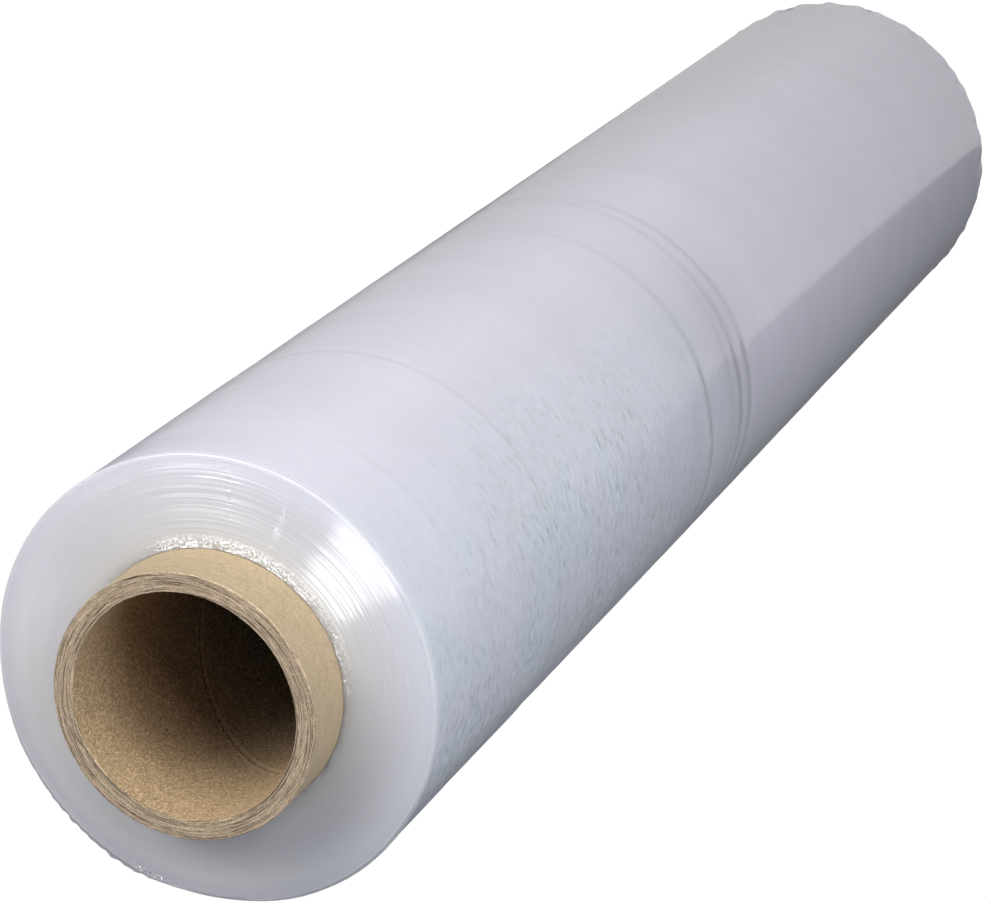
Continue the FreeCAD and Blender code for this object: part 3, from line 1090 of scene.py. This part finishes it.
card(
    "backdrop_card",
    [spot(EDGE, -1.6, BEHIND), spot(EDGE, 1.6, BEHIND), spot(1.8, 1.6, BEHIND), spot(1.8, -1.6, BEHIND)],
    0.6,
    shape=backdrop_glow,
)
card(
    "table_card",
    [spot(EDGE, -1.6, BEHIND), spot(EDGE, 1.6, BEHIND), spot(-1.8, 1.6, BEHIND), spot(-1.8, -1.6, BEHIND)],
    0.15,
    (0.95, 0.99, 1.04),
)

AMBIENT = 0.258
world = bpy.data.worlds.new("studio")
bpy.context.scene.world = world
world.use_nodes = True
n = Nodes(world.node_tree)
direction = n.add("ShaderNodeTexCoord").outputs["Generated"]
# dim all round, and dimmer on the side that the open end faces
ahead = n.add("ShaderNodeSeparateXYZ", {"Vector": direction}).outputs[2]
glow = n.times(n.ramp(ahead, -0.05, 0.45, 1.0, 0.36), AMBIENT)
background = n.add("ShaderNodeBackground", {"Color": (0.96, 0.98, 1.08, 1), "Strength": glow})
out = n.add("ShaderNodeOutputWorld")
n.tree.links.new(background.outputs[0], out.inputs["Surface"])

# --------------------------------------------------------------------- stage
# A plain pale floor that runs into a plain pale backdrop.
def stage_disc(name, radius, height):
    parts = 96
    a = np.linspace(0, 2 * np.pi, parts, endpoint=False)
    mesh = bpy.data.meshes.new(name)
    mesh.from_pydata(
        [(radius * math.cos(q), radius * math.sin(q), height) for q in a], [], [tuple(range(parts))]
    )
    mesh.update()
    thing = bpy.data.objects.new(name, mesh)
    bpy.context.scene.collection.objects.link(thing)
    return thing


def stage_dome(name, radius):
    rings, parts = 24, 64
    verts, faces = [], []
    for i in range(rings + 1):
        e = math.radians(-30 + 120 * i / rings)
        for j in range(parts):
            q = 2 * math.pi * j / parts
            verts.append((radius * math.cos(e) * math.cos(q), radius * math.cos(e) * math.sin(q), radius * math.sin(e)))
    for i in range(rings):
        for j in range(parts):
            faces.append((i * parts + j, i * parts + (j + 1) % parts, (i + 1) * parts + (j + 1) % parts, (i + 1) * parts + j))
    mesh = bpy.data.meshes.new(name)
    mesh.from_pydata(verts, [], faces)
    mesh.update()
    mesh.shade_smooth()
    thing = bpy.data.objects.new(name, mesh)
    bpy.context.scene.collection.objects.link(thing)
    return thing


floor = stage_disc("floor", 7.5, 0.0)
dome = stage_dome("backdrop", 8.0)
material, n = new_material("stage_floor")
glow = n.add("ShaderNodeEmission", {"Color": (1, 1, 1, 1), "Strength": 0.975})
matt = n.add("ShaderNodeBsdfDiffuse", {"Color": (0.06, 0.06, 0.06, 1)})
both = n.add("ShaderNodeAddShader")
n.tree.links.new(glow.outputs[0], both.inputs[0])
n.tree.links.new(matt.outputs[0], both.inputs[1])
out = n.add("ShaderNodeOutputMaterial")
n.tree.links.new(both.outputs[0], out.inputs["Surface"])
floor.data.materials.append(material)
material, n = new_material("stage_backdrop")
glow = n.add("ShaderNodeEmission", {"Color": (1, 1, 1, 1), "Strength": 1.0})
out = n.add("ShaderNodeOutputMaterial")
n.tree.links.new(glow.outputs[0], out.inputs["Surface"])
dome.data.materials.append(material)
for thing in (floor, dome):
    hide_from(thing, diffuse=False, glossy=False, transmission=False, volume_scatter=False, shadow=False)

# -------------------------------------------------------------------- camera
lens = bpy.data.cameras.new("camera")
lens.sensor_width = 36.0
lens.lens = 136.62647
lens.clip_start, lens.clip_end = 0.01, 60.0
camera = bpy.data.objects.new("camera", lens)
right = Vector((-0.64896, -0.679906, -0.341436))
up = Vector((0.760819, -0.578625, -0.293849))
back = Vector((0.002226, -0.450468, 0.89279))
turn = Matrix((right, up, back)).transposed()
camera.rotation_mode = "QUATERNION"
camera.rotation_quaternion = turn.to_quaternion()
camera.location = (0.0, -0.426846, 1.189617)
bpy.context.scene.collection.objects.link(camera)
bpy.context.scene.camera = camera

scene = bpy.context.scene
scene.view_settings.view_transform = "Standard"
scene.view_settings.look = "None"
scene.view_settings.exposure = 0.0
scene.view_settings.gamma = 1.0
scene.cycles.use_denoising = True
